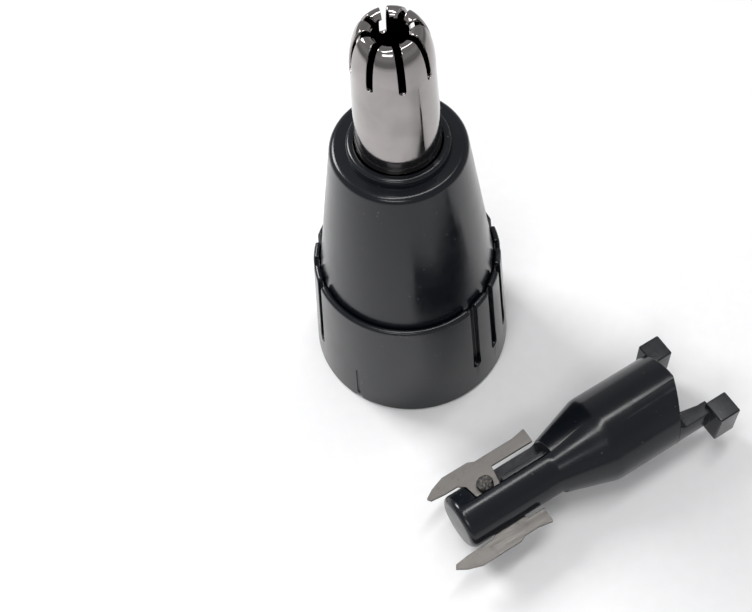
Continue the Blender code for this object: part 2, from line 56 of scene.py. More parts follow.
GROOVE_ANGLES = [37.0, 54.0, 71.0, 88.0, 105.0]
GROOVE_PITCH = 17.0
GROOVE_WIDTH, GROOVE_DEPTH, GROOVE_LOW = 0.95, 0.6, 4.1
MARK_ANGLE, MARK_WIDTH, MARK_DEPTH, MARK_TOP = -40.0, 0.35, 0.15, 5.6
NOTCH_WIDTH, NOTCH_HEIGHT = 0.8, 0.5
CONE_BASE, CONE_TOP, CONE_HEIGHT = 8.75, 6.253, 33.45
CONE_HOLE, CONE_ROOF, CONE_BORE, CONE_BORE_HEIGHT = 4.3, 32.25, 5.75, 29.0
CONE_SHOULDER, SKIRT, SKIRT_BORE, SKIRT_BORE_HEIGHT, SKIRT_LOW = 14.2, 8.2, 7.0, 19.4, 5.5
CLIP_GROOVE, CLIP_GROOVE_LOW, CLIP_GROOVE_HIGH = 7.85, 11.6, 12.35
CLIP_RADIUS, CLIP_WIRE, CLIP_OPENING = 8.3, 0.3, 28.0
SEAL_RADIUS, SEAL_HEIGHT, SEAL_WIRE = 7.6, 4.95, 0.4
BAYONET, BAYONET_BORE, BAYONET_LUG, BAYONET_GAP = 8.75, 7.95, 7.1, 8.0
BAYONET_LOW, BAYONET_STEP, BAYONET_HIGH = 0.9, 2.2, 3.6
DETENT_RADIUS, DETENT_BOW, DETENT_SHEET, DETENT_SPAN = 8.45, 0.3, 0.15, 46.0
DETENT_LOW, DETENT_HIGH = 8.4, 10.4
GUARD_BASE, GUARD_NECK, GUARD_NECK_HEIGHT, GUARD_HEIGHT = 4.0, 3.58, 44.0, 48.5
GUARD_CREST, GUARD_HOLE, GUARD_LIP, GUARD_WALL = 2.2, 1.5, 0.55, 0.3
GUARD_FLANGE, GUARD_FLANGE_HEIGHT = 5.4, 32.05
SLOT_COUNT, SLOT_PHASE, SLOT_WIDTH, SLOT_LOW = 8, -82.7, 0.62, 44.4

# Rotor sizes, in millimetres, upright with the feet at height 0 and the tip at the top.
ROTOR_LENGTH, NECK, NECK_LOW = 30.0, 2.85, 19.2
SHELL, SHELL_TOP, SHELL_RIM, RIM_SLANT, SHELL_BORE = 4.65, 13.4, 4.2, 0.45, 3.75
SHELL_BORE_HEIGHT, BORE_END, BORE_END_HEIGHT = 12.6, 2.3, 17.2
CHANNEL_LOW, CHANNEL_HIGH, WEB = 18.7, 27.7, 0.4
NEAR_FOOT, FAR_FOOT = (3.5, 6.0, 0.0), (2.85, 5.3, 1.65)
FOOT_HALF, FOOT_HEIGHT, LEG_HALF = 2.2, 2.45, 1.6
COIL_LOW, COIL_HIGH, COIL_TURNS, COIL_RADIUS, COIL_WIRE = 12.5, 15.6, 4.0, 2.2, 0.2
BLADE_SEAT, BLADE_SHEET = 0.15, 0.3
BLADE_EDGE, BLADE_WAIST, BLADE_INNER = 4.8, 4.5, 3.15
FAR_BLADE_ENDS, NEAR_BLADE_ENDS = (18.8, 31.2), (21.8, 32.6)
STAKE_OUT, STAKE_UP, STAKE_HOLE = 1.8, 25.5, 0.55

# The rotor's own frame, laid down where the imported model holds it.
SPIN = next(joint for joint in frame["joints"] if joint["name"] == "rotor_spin")
ROTOR_YAW = math.atan2(SPIN["axis"][1], SPIN["axis"][0])
LAID_DOWN = (
    Matrix.Translation(SPIN["pos_m"])
    @ Matrix.Rotation(ROTOR_YAW - math.pi / 2, 4, "Z")
    @ Matrix.Rotation(math.pi / 2, 4, "X")
)
STANDING = Matrix.Identity(4)


# Shader groups ------------------------------------------------------------------------------


def start_group(name, inputs, outputs):
    """A shader group with its sockets, and its input and output nodes."""
    tree = bpy.data.node_groups.new(name, "ShaderNodeTree")
    for label, kind, value in inputs:
        socket = tree.interface.new_socket(label, in_out="INPUT", socket_type=kind)
        if value is not None:
            socket.default_value = value
    for label, kind in outputs:
        tree.interface.new_socket(label, in_out="OUTPUT", socket_type=kind)
    return tree, tree.nodes.new("NodeGroupInput"), tree.nodes.new("NodeGroupOutput")


def add_node(tree, kind, settings=(), **values):
    """A node with its properties set, and its inputs given by name or by number."""
    node = tree.nodes.new(kind)
    for name, value in dict(settings).items():
        setattr(node, name, value)
    for name, value in values.items():
        key = int(name[1:]) if name[0] == "i" and name[1:].isdigit() else name.replace("_", " ")
        if isinstance(value, bpy.types.NodeSocket):
            tree.links.new(value, node.inputs[key])
        else:
            node.inputs[key].default_value = value
    return node


def spread_between(tree, value, low, high, out_low=0.0, out_high=1.0):
    """A value's range stretched to a new range, and clipped."""
    node = add_node(tree, "ShaderNodeMapRange", Value=value)
    node.inputs["From Min"].default_value = low
    node.inputs["From Max"].default_value = high
    for key, end in (("To Min", out_low), ("To Max", out_high)):
        if isinstance(end, bpy.types.NodeSocket):
            tree.links.new(end, node.inputs[key])
        else:
            node.inputs[key].default_value = end
    return node.outputs["Result"]


def make_edge_wear():
    """Mask of the rubbed, slightly paler outer edges of a moulding."""
    inputs = [("Vector", "NodeSocketVector", None), ("Low", "NodeSocketFloat", 0.52),
              ("High", "NodeSocketFloat", 0.6), ("Patch Scale", "NodeSocketFloat", 700.0)]
    tree, ins, outs = start_group("edge_wear", inputs, [("Mask", "NodeSocketFloat")])
    shape = add_node(tree, "ShaderNodeNewGeometry")
    edge = add_node(tree, "ShaderNodeMapRange", Value=shape.outputs["Pointiness"],
                    From_Min=ins.outputs["Low"], From_Max=ins.outputs["High"])
    patch = add_node(tree, "ShaderNodeTexNoise", Vector=ins.outputs["Vector"],
                     Scale=ins.outputs["Patch Scale"], Detail=3.0)
    broken = spread_between(tree, patch.outputs["Fac"], 0.35, 0.6, 0.25, 1.0)
    mask = add_node(tree, "ShaderNodeMath", {"operation": "MULTIPLY"},
                    i0=edge.outputs["Result"], i1=broken)
    tree.links.new(mask.outputs[0], outs.inputs["Mask"])
    return tree


def make_mould_skin():
    """Skin of a moulding: faint flow marks, wiped smudges and a fine orange peel."""
    inputs = [("Vector", "NodeSocketVector", None), ("Smooth", "NodeSocketFloat", 0.2),
              ("Smudged", "NodeSocketFloat", 0.3), ("Peel Scale", "NodeSocketFloat", 1600.0)]
    outputs = [("Roughness", "NodeSocketFloat"), ("Height", "NodeSocketFloat"),
               ("Flow", "NodeSocketFloat")]
    tree, ins, outs = start_group("mould_skin", inputs, outputs)
    smudge = add_node(tree, "ShaderNodeTexNoise", Vector=ins.outputs["Vector"],
                      Scale=260.0, Detail=5.0, Roughness=0.62, Distortion=0.8)
    rough = spread_between(tree, smudge.outputs["Fac"], 0.38, 0.66,
                           ins.outputs["Smooth"], ins.outputs["Smudged"])
    peel = add_node(tree, "ShaderNodeTexNoise", Vector=ins.outputs["Vector"],
                    Scale=ins.outputs["Peel Scale"], Detail=2.0)
    flow = add_node(tree, "ShaderNodeTexNoise", Vector=ins.outputs["Vector"],
                    Scale=90.0, Detail=2.0, Distortion=1.5)
    tree.links.new(rough, outs.inputs["Roughness"])
    tree.links.new(peel.outputs["Fac"], outs.inputs["Height"])
    tree.links.new(flow.outputs["Fac"], outs.inputs["Flow"])
    return tree


def make_polish_lines():
    """Fine lines that a polishing wheel leaves round a turned or drawn tube."""
    inputs = [("Vector", "NodeSocketVector", None), ("Lines", "NodeSocketFloat", 9000.0),
              ("Round", "NodeSocketFloat", 90.0), ("Bright", "NodeSocketFloat", 0.1),
              ("Dull", "NodeSocketFloat", 0.2)]
    outputs = [("Height", "NodeSocketFloat"), ("Roughness", "NodeSocketFloat"),
               ("Tone", "NodeSocketFloat")]
    tree, ins, outs = start_group("polish_lines", inputs, outputs)
    parts = add_node(tree, "ShaderNodeSeparateXYZ", Vector=ins.outputs["Vector"])
    around = [add_node(tree, "ShaderNodeMath", {"operation": "MULTIPLY"},
                       i0=parts.outputs[axis], i1=ins.outputs["Round"]) for axis in "XY"]
    along = add_node(tree, "ShaderNodeMath", {"operation": "MULTIPLY"},
                     i0=parts.outputs["Z"], i1=ins.outputs["Lines"])
    joined = add_node(tree, "ShaderNodeCombineXYZ", X=around[0].outputs[0],
                      Y=around[1].outputs[0], Z=along.outputs[0])
    lines = add_node(tree, "ShaderNodeTexNoise", Vector=joined.outputs[0],
                     Scale=1.0, Detail=3.0)
    cloud = add_node(tree, "ShaderNodeTexNoise", Vector=ins.outputs["Vector"],
                     Scale=320.0, Detail=4.0, Distortion=0.6)
    dull = spread_between(tree, cloud.outputs["Fac"], 0.4, 0.68,
                          ins.outputs["Bright"], ins.outputs["Dull"])
    tree.links.new(lines.outputs["Fac"], outs.inputs["Height"])
    tree.links.new(dull, outs.inputs["Roughness"])
    tree.links.new(cloud.outputs["Fac"], outs.inputs["Tone"])
    return tree


def make_fine_dust():
    """Mask of a few specks of dust and lint."""
    inputs = [("Vector", "NodeSocketVector", None), ("Speck Scale", "NodeSocketFloat", 1500.0),
              ("Amount", "NodeSocketFloat", 0.5)]
    tree, ins, outs = start_group("fine_dust", inputs, [("Mask", "NodeSocketFloat")])
    specks = add_node(tree, "ShaderNodeTexVoronoi", Vector=ins.outputs["Vector"],
                      Scale=ins.outputs["Speck Scale"], Randomness=1.0)
    dots = spread_between(tree, specks.outputs["Distance"], 0.16, 0.08)
    where = add_node(tree, "ShaderNodeTexNoise", Vector=ins.outputs["Vector"],
                     Scale=420.0, Detail=2.0)
    sparse = spread_between(tree, where.outputs["Fac"], 0.58, 0.66)
    mask = add_node(tree, "ShaderNodeMath", {"operation": "MULTIPLY"}, i0=dots, i1=sparse)
    scaled = add_node(tree, "ShaderNodeMath", {"operation": "MULTIPLY"},
                      i0=mask.outputs[0], i1=ins.outputs["Amount"])
    tree.links.new(scaled.outputs[0], outs.inputs["Mask"])
    return tree


EDGE_WEAR = make_edge_wear()
MOULD_SKIN = make_mould_skin()
POLISH_LINES = make_polish_lines()
FINE_DUST = make_fine_dust()


# Materials ----------------------------------------------------------------------------------


def start_material(name):
    """A Principled material, with its tree, shader and the pattern space of the piece."""
    material = bpy.data.materials.new(name)
    material.use_nodes = True
    tree = material.node_tree
    shader = tree.nodes["Principled BSDF"]
    space = tree.nodes.new("ShaderNodeTexCoord").outputs["Object"]
    return material, tree, shader, space


def use_group(tree, group, **values):
    """One of the shader groups with this material's own values."""
    node = tree.nodes.new("ShaderNodeGroup")
    node.node_tree = group
    for name, value in values.items():
        key = name.replace("_", " ")
        if isinstance(value, bpy.types.NodeSocket):
            tree.links.new(value, node.inputs[key])
        else:
            node.inputs[key].default_value = value
    return node.outputs


def blend_colour(tree, mask, first, second):
    """Two colours, or a colour socket and a colour, mixed by a mask."""
    mix = add_node(tree, "ShaderNodeMix", {"data_type": "RGBA"})
    tree.links.new(mask, mix.inputs["Factor"])
    for number, colour in ((6, first), (7, second)):
        if isinstance(colour, bpy.types.NodeSocket):
            tree.links.new(colour, mix.inputs[number])
        else:
            mix.inputs[number].default_value = (*colour, 1.0)
    return mix.outputs[2]


def add_relief(tree, shader, height, strength, distance):
    """A bump from a height pattern."""
    bump = add_node(tree, "ShaderNodeBump", Height=height, Strength=strength, Distance=distance)
    tree.links.new(bump.outputs["Normal"], shader.inputs["Normal"])


def moulded_plastic(name, deep, flow, rubbed, smooth, smudged, peel):
    """Black moulded plastic with flow marks, smudges, rubbed edges and a little dust."""
    material, tree, shader, space = start_material(name)
    skin = use_group(tree, MOULD_SKIN, Vector=space, Smooth=smooth, Smudged=smudged)
    wear = use_group(tree, EDGE_WEAR, Vector=space)
    dust = use_group(tree, FINE_DUST, Vector=space, Amount=0.35)
    body = blend_colour(tree, skin["Flow"], deep, flow)
    worn = blend_colour(tree, wear["Mask"], body, rubbed)
    dusty = blend_colour(tree, dust["Mask"], worn, (0.2, 0.2, 0.2))
    tree.links.new(dusty, shader.inputs["Base Color"])
    tree.links.new(skin["Roughness"], shader.inputs["Roughness"])
    shader.inputs["IOR"].default_value = 1.42
    add_relief(tree, shader, skin["Height"], peel, 0.00002)
    return material


def polished_metal(name, tone, shade, bright, dull, lines, strength):
    """Metal with circular polishing lines and cloudy, slightly duller patches."""
    material, tree, shader, space = start_material(name)
    polish = use_group(tree, POLISH_LINES, Vector=space, Lines=lines, Bright=bright, Dull=dull)
    cloud = spread_between(tree, polish["Tone"], 0.35, 0.65)
    tree.links.new(blend_colour(tree, cloud, tone, shade), shader.inputs["Base Color"])
    tree.links.new(polish["Roughness"], shader.inputs["Roughness"])
    shader.inputs["Metallic"].default_value = 1.0
    add_relief(tree, shader, polish["Height"], strength, 0.00001)
    return material


def stamped_blade_steel():
    """Thin satin sheet steel: rolling lines along the blade, stains and fine pits."""
    material, tree, shader, space = start_material("stamped_blade_steel")
    along = add_node(tree, "ShaderNodeMapping", {"vector_type": "TEXTURE"}, Vector=space)
    along.inputs["Rotation"].default_value = (0.0, 0.0, ROTOR_YAW)
    stretched = add_node(tree, "ShaderNodeVectorMath", {"operation": "MULTIPLY"},
                         i0=along.outputs["Vector"], i1=(300.0, 7000.0, 7000.0))
    rolled = add_node(tree, "ShaderNodeTexNoise", Vector=stretched.outputs["Vector"],
                      Scale=1.0, Detail=3.0)
    stain = add_node(tree, "ShaderNodeTexNoise", Vector=space, Scale=900.0, Detail=5.0,
                     Roughness=0.65)
    marks = spread_between(tree, stain.outputs["Fac"], 0.54, 0.76)
    colour = blend_colour(tree, marks, (0.145, 0.137, 0.129), (0.11, 0.103, 0.097))
    tree.links.new(colour, shader.inputs["Base Color"])
    tree.links.new(spread_between(tree, rolled.outputs["Fac"], 0.3, 0.7, 0.32, 0.5),
                   shader.inputs["Roughness"])
    shader.inputs["Metallic"].default_value = 1.0
    add_relief(tree, shader, rolled.outputs["Fac"], 0.35, 0.00001)
    return material


def melted_plastic():
    """Plastic that a hot tool has pressed down: crinkled, patchy and a little charred."""
    material, tree, shader, space = start_material("melted_plastic")
    cells = add_node(tree, "ShaderNodeTexVoronoi", Vector=space, Scale=3600.0, Randomness=1.0)
    crust = add_node(tree, "ShaderNodeTexNoise", Vector=space, Scale=3000.0, Detail=6.0,
                     Roughness=0.7)
    pale = spread_between(tree, crust.outputs["Fac"], 0.5, 0.64)
    tree.links.new(blend_colour(tree, pale, (0.02, 0.019, 0.018), (0.2, 0.18, 0.155)),
                   shader.inputs["Base Color"])
    tree.links.new(spread_between(tree, crust.outputs["Fac"], 0.35, 0.65, 0.25, 0.6),
                   shader.inputs["Roughness"])
    height = add_node(tree, "ShaderNodeMath", {"operation": "ADD"},
                      i0=cells.outputs["Distance"], i1=crust.outputs["Fac"])
    add_relief(tree, shader, height.outputs[0], 0.9, 0.00008)
    return material


def seal_rubber():
    """Matt rubber with a powdery bloom."""
    material, tree, shader, space = start_material("seal_rubber")
    skin = use_group(tree, MOULD_SKIN, Vector=space, Smooth=0.62, Smudged=0.8, Peel_Scale=4000.0)
    bloom = spread_between(tree, skin["Flow"], 0.4, 0.7)
    tree.links.new(blend_colour(tree, bloom, (0.012, 0.012, 0.012), (0.035, 0.034, 0.033)),
                   shader.inputs["Base Color"])
    tree.links.new(skin["Roughness"], shader.inputs["Roughness"])
    add_relief(tree, shader, skin["Height"], 0.5, 0.00003)
    return material


GLOSS_BLACK = moulded_plastic("gloss_black_plastic", (0.004, 0.0052, 0.0075),
                              (0.006, 0.0075, 0.0105), (0.03, 0.032, 0.036), 0.17, 0.24, 0.1)
INNER_BLACK = moulded_plastic("inner_black_plastic", (0.011, 0.012, 0.013),
                              (0.018, 0.018, 0.019), (0.04, 0.04, 0.04), 0.4, 0.55, 0.3)
BRIGHT_STEEL = polished_metal("bright_steel", (0.36, 0.335, 0.33), (0.31, 0.29, 0.285),
                              0.06, 0.11, 8000.0, 0.1)
SPRING_STEEL = polished_metal("spring_steel", (0.5, 0.49, 0.47), (0.38, 0.37, 0.36),
                              0.22, 0.38, 12000.0, 0.3)
TURNED_BRASS = polished_metal("turned_brass", (0.72, 0.52, 0.24), (0.55, 0.38, 0.17),
                              0.2, 0.34, 14000.0, 0.3)
BLADE_STEEL = stamped_blade_steel()
MELTED_PLASTIC = melted_plastic()
SEAL_RUBBER = seal_rubber()


# Shapes -------------------------------------------------------------------------------------


def rounded(corners, segments=5):
    """A closed section whose corners (radius, height, fillet) are rounded."""
    points = []
    for index, (radius, height, fillet) in enumerate(corners):
        here = Vector((radius, height))
        if not fillet:
            points.append(here)
            continue
        back = (Vector(corners[index - 1][:2]) - here).normalized()
        ahead = (Vector(corners[(index + 1) % len(corners)][:2]) - here).normalized()
        half = back.angle(ahead) / 2
        centre = here + (back + ahead).normalized() * (fillet / math.sin(half))
        start = here + back * (fillet / math.tan(half)) - centre
        end = here + ahead * (fillet / math.tan(half)) - centre
        first = math.atan2(start.y, start.x)
        turn = (math.atan2(end.y, end.x) - first + math.pi) % math.tau - math.pi
        for step in range(segments + 1):
            angle = first + turn * step / segments
            points.append(centre + fillet * Vector((math.cos(angle), math.sin(angle))))
    return points


def even_angles(count):
    """Directions round a full turn, in degrees."""
    return [360.0 * index / count for index in range(count)]


def filled(keys, widest):
    """Directions round a full turn that hold every key angle, with the gaps filled evenly."""
    keys = sorted(key % 360.0 for key in keys)
    angles = []
    for index, key in enumerate(keys):
        gap = (keys[(index + 1) % len(keys)] - key) % 360.0
        parts = max(1, math.ceil(gap / widest))
        angles += [key + gap * part / parts for part in range(parts)]
    return angles


def turned(section, angles):
    """A closed section in millimetres turned about the upright axis."""
    bm = bmesh.new()
    rings = []
    for radius, height in section:
        if radius < 1e-6:
            rings.append([bm.verts.new((0.0, 0.0, height))] * len(angles))
            continue
        rings.append([bm.verts.new((radius * math.cos(math.radians(angle)),
                                    radius * math.sin(math.radians(angle)), height))
                      for angle in angles])
    for ring, following in zip(rings, rings[1:] + rings[:1]):
        for i in range(len(angles)):
            j = (i + 1) % len(angles)
            corners = []
            for vertex in (ring[i], ring[j], following[j], following[i]):
                if vertex not in corners:
                    corners.append(vertex)
            if len(corners) > 2:
                bm.faces.new(corners)
    return bm


def add_box(bm, low, high):
    """Add a box between two corners, in millimetres."""
    low, high = Vector(low), Vector(high)
    place = Matrix.Translation((low + high) / 2) @ Matrix.Diagonal((*(high - low), 1.0))
    return bmesh.ops.create_cube(bm, size=1.0, matrix=place)["verts"]


def add_prism(bm, outline, place):
    """Add a flat outline (u, v) as a solid; place gives the corner at each of its two ends."""
    ends = [[bm.verts.new(place(u, v, end)) for u, v in outline] for end in (0, 1)]
    bm.faces.new(ends[0])
    bm.faces.new(list(reversed(ends[1])))
    for i in range(len(outline)):
        j = (i + 1) % len(outline)
        bm.faces.new((ends[0][j], ends[0][i], ends[1][i], ends[1][j]))
    return ends[0] + ends[1]


def to_object(name, bm, place=STANDING, turn=0.0):
    """An object at the origin, its shape brought from millimetres to its place in metres."""
    bmesh.ops.recalc_face_normals(bm, faces=bm.faces[:])
    size = Matrix.Scale(MM, 4)
    bmesh.ops.transform(bm, verts=bm.verts[:],
                        matrix=place @ Matrix.Rotation(math.radians(turn), 4, "Z") @ size)
    mesh = bpy.data.meshes.new(name)
    bm.to_mesh(mesh)
    bm.free()
    obj = bpy.data.objects.new(name, mesh)
    bpy.context.scene.collection.objects.link(obj)
    return obj


def settle(obj):
    """Turn an object's modifiers into its plain mesh."""
    graph = bpy.context.evaluated_depsgraph_get()
    mesh = bpy.data.meshes.new_from_object(obj.evaluated_get(graph))
    obj.modifiers.clear()
    obj.data = mesh
    return obj


def combine(obj, other, operation):
    """Cut an object with another, or join the two, and use the other up."""
    boolean = obj.modifiers.new("combine", "BOOLEAN")
    boolean.operation = operation
    boolean.solver = "EXACT"
    boolean.object = other
    settle(obj)
    bpy.data.objects.remove(other)
    return obj


def soften(obj, width, segments=2, limit=35.0):
    """Round the sharp edges of an object by a width in millimetres."""
    bevel = obj.modifiers.new("soften", "BEVEL")
    bevel.width = width * MM
    bevel.segments = segments
    bevel.limit_method = "ANGLE"
    bevel.angle_limit = math.radians(limit)
    bevel.use_clamp_overlap = False
    bevel.miter_outer = "MITER_ARC"
    return settle(obj)


def finish_piece(obj, body, nodes, material, crease=38.0):
    """Shade an object, give it its finish and put it in the place of its CAD nodes."""
    mesh = obj.data
    mesh.materials.clear()
    mesh.materials.append(material)
    mesh.shade_smooth()
    mesh.set_sharp_from_angle(angle=math.radians(crease))
    even = obj.modifiers.new("even_shading", "WEIGHTED_NORMAL")
    even.keep_sharp = True
    settle(obj)
    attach(obj, body)
    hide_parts(*nodes)
    return obj


# Shapes that repeat -------------------------------------------------------------------------


def geometry_tree(name, inputs):
    """A geometry tree with one geometry in and out, and named inputs."""
    tree = bpy.data.node_groups.new(name, "GeometryNodeTree")
    tree.interface.new_socket("Geometry", in_out="INPUT", socket_type="NodeSocketGeometry")
    for label, kind in inputs:
        tree.interface.new_socket(label, in_out="INPUT", socket_type=kind)
    tree.interface.new_socket("Geometry", in_out="OUTPUT", socket_type="NodeSocketGeometry")
    return tree, tree.nodes.new("NodeGroupInput"), tree.nodes.new("NodeGroupOutput")


def end_tree(tree, ins, outs, geometry):
    """Realize the instances, close coincident seams and set the material."""
    real = add_node(tree, "GeometryNodeRealizeInstances", Geometry=geometry)
    merged = add_node(tree, "GeometryNodeMergeByDistance", Geometry=real.outputs["Geometry"],
                      Distance=0.000002)
    finish = add_node(tree, "GeometryNodeSetMaterial", Geometry=merged.outputs["Geometry"],
                      Material=ins.outputs["Material"])
    tree.links.new(finish.outputs["Geometry"], outs.inputs["Geometry"])
    return tree


def make_round_repeat():
    """Copies of a shape turned about the upright axis by equal steps."""
    inputs = [("Count", "NodeSocketInt"), ("Step", "NodeSocketFloat"),
              ("Material", "NodeSocketMaterial")]
    tree, ins, outs = geometry_tree("repeat_round_axis", inputs)
    one = add_node(tree, "GeometryNodeGeometryToInstance", Geometry=ins.outputs["Geometry"])
    many = add_node(tree, "GeometryNodeDuplicateElements", {"domain": "INSTANCE"},
                    Geometry=one.outputs["Instances"], Amount=ins.outputs["Count"])
    angle = add_node(tree, "ShaderNodeMath", {"operation": "MULTIPLY"},
                     i0=many.outputs["Duplicate Index"], i1=ins.outputs["Step"])
    turn = add_node(tree, "ShaderNodeCombineXYZ", Z=angle.outputs[0])
    turned_copies = add_node(tree, "GeometryNodeRotateInstances",
                             Instances=many.outputs["Geometry"], Rotation=turn.outputs[0],
                             Local_Space=False)
    return end_tree(tree, ins, outs, turned_copies.outputs["Instances"])


def make_wire_coil():
    """A round wire wound on an upright helix, or bent to an open ring when it has no rise."""
    inputs = [("Turns", "NodeSocketFloat"), ("Radius", "NodeSocketFloat"),
              ("Rise", "NodeSocketFloat"), ("Wire", "NodeSocketFloat"),
              ("Points", "NodeSocketInt"), ("Material", "NodeSocketMaterial")]
    tree, ins, outs = geometry_tree("wound_wire", inputs)
    path = add_node(tree, "GeometryNodeCurveSpiral", Resolution=ins.outputs["Points"],
                    Rotations=ins.outputs["Turns"], Start_Radius=ins.outputs["Radius"],
                    End_Radius=ins.outputs["Radius"], Height=ins.outputs["Rise"])
    section = add_node(tree, "GeometryNodeCurvePrimitiveCircle", Resolution=14,
                       Radius=ins.outputs["Wire"])
    wire = add_node(tree, "GeometryNodeCurveToMesh", Curve=path.outputs["Curve"],
                    Profile_Curve=section.outputs["Curve"], Fill_Caps=True)
    return end_tree(tree, ins, outs, wire.outputs["Mesh"])


def run_tree(obj, tree, **values):
    """Run a geometry tree on an object with its named inputs, and keep the plain mesh."""
    made = obj.modifiers.new(tree.name, "NODES")
    made.node_group = tree
    for item in tree.interface.items_tree:
        key = item.name.replace(" ", "_")
        if item.in_out == "INPUT" and key in values:
            made[item.identifier] = values[key]
    return settle(obj)


ROUND_REPEAT = make_round_repeat()
WIRE_COIL = make_wire_coil()


# The head -----------------------------------------------------------------------------------


def make_cone_shell():
    """Tapered shell with a rounded flat top, and the skirt that the collar turns on."""
    section = rounded([
        (CONE_HOLE, CONE_HEIGHT, 0.18), (CONE_TOP, CONE_HEIGHT, 0.65),
        (CONE_BASE, COLLAR_HEIGHT, 0), (CONE_BASE, CONE_SHOULDER, 0.15),
        (SKIRT, CONE_SHOULDER, 0), (SKIRT, CLIP_GROOVE_HIGH, 0.05),
        (CLIP_GROOVE, CLIP_GROOVE_HIGH, 0), (CLIP_GROOVE, CLIP_GROOVE_LOW, 0),
        (SKIRT, CLIP_GROOVE_LOW, 0.05), (SKIRT, SKIRT_LOW, 0.2),
        (SKIRT_BORE, SKIRT_LOW, 0.15), (SKIRT_BORE, SKIRT_BORE_HEIGHT, 0.3),
        (CONE_BORE, CONE_BORE_HEIGHT, 0.4), (CONE_BORE, CONE_ROOF, 0.2),
        (CONE_HOLE, CONE_ROOF, 0.1),
    ], 7)
    shell = to_object("cone_shell", turned(section, even_angles(192)))
    return finish_piece(shell, "head", ["cone_housing"], GLOSS_BLACK)


def upright_slot(name, inner, outer, low, high, width, lean):
    """A radial slot cutter on the +X side with a half-round lower end."""
    half = width / 2
    outline = [(half, high), (-half, high)]
    for step in range(13):
        angle = math.pi + math.pi * step / 12
        outline.append((half * math.cos(angle), low + half + half * math.sin(angle)))
    bm = bmesh.new()
    add_prism(bm, outline, lambda u, v, end: (outer if end else inner - lean * (v - low), u, v))
    return to_object(name, bm)


def make_grip_collar():
    """The turning collar: five grip grooves on each side, a front mark and a notch below it."""
    keys = []
    for angle in GROOVE_ANGLES:
        for side in (0.0, 180.0):
            keys += [angle + side - 90.0 + offset for offset in (-4.2, -1.2, 1.2, 4.2)]
    keys += [MARK_ANGLE - 90.0 + offset for offset in (-3.4, -1.6, 0.0, 1.6, 3.4)]
    section = rounded([
        (COLLAR_LIP, COLLAR_HEIGHT - 0.1, 0.06), (COLLAR_TOP, COLLAR_HEIGHT, 0.38),
        (COLLAR_BASE, 0.0, 0.3), (COLLAR_BORE, 0.0, 0.15), (COLLAR_BORE, COLLAR_SHOULDER_LOW, 0),
        (COLLAR_SHOULDER, COLLAR_SHOULDER_LOW, 0), (COLLAR_SHOULDER, COLLAR_SHOULDER_HIGH, 0),
        (COLLAR_LIP, COLLAR_SHOULDER_HIGH, 0),
    ])
    collar = to_object("grip_collar", turned(section, filled(keys, 2.0)))
    taper = (COLLAR_BASE - COLLAR_TOP) / COLLAR_HEIGHT
    outside = COLLAR_BASE - taper * GROOVE_LOW
    grooves = upright_slot("grooves", outside - GROOVE_DEPTH, outside + 2.0, GROOVE_LOW,
                           COLLAR_HEIGHT + 1.0, GROOVE_WIDTH, taper)
    first = Matrix.Rotation(math.radians(GROOVE_ANGLES[0] - 90.0), 4, "Z")
    grooves.data.transform(first)
    run_tree(grooves, ROUND_REPEAT, Count=len(GROOVE_ANGLES), Step=math.radians(GROOVE_PITCH),
             Material=GLOSS_BLACK)
    run_tree(grooves, ROUND_REPEAT, Count=2, Step=math.pi, Material=GLOSS_BLACK)
    combine(collar, grooves, "DIFFERENCE")
    low = NOTCH_HEIGHT + 0.4
    mark = upright_slot("mark", COLLAR_BASE - MARK_DEPTH - taper * low, COLLAR_BASE + 1.0,
                        low, MARK_TOP, MARK_WIDTH, taper)
    bm = bmesh.new()
    add_box(bm, (COLLAR_BASE - 0.5, -NOTCH_WIDTH / 2, -1.0),
            (COLLAR_BASE + 1.0, NOTCH_WIDTH / 2, NOTCH_HEIGHT))
    notch = to_object("notch", bm)
    for cutter in (mark, notch):
        cutter.data.transform(Matrix.Rotation(math.radians(MARK_ANGLE - 90.0), 4, "Z"))
        combine(collar, cutter, "DIFFERENCE")
    soften(collar, 0.07, 2, 50.0)
    return finish_piece(collar, "lock_ring", ["lock_ring"], GLOSS_BLACK, 45.0)


def guard_radius(height):
    """Outer radius of the guard at a height on its dome or its tube."""
    if height > GUARD_NECK_HEIGHT:
        rise = (height - GUARD_NECK_HEIGHT) / (GUARD_HEIGHT - GUARD_NECK_HEIGHT)
        return GUARD_CREST + (GUARD_NECK - GUARD_CREST) * math.sqrt(max(0.0, 1 - rise ** 2))
    share = (GUARD_NECK_HEIGHT - height) / (GUARD_NECK_HEIGHT - GUARD_FLANGE_HEIGHT - 0.5)
    return GUARD_NECK + (GUARD_BASE - GUARD_NECK) * share


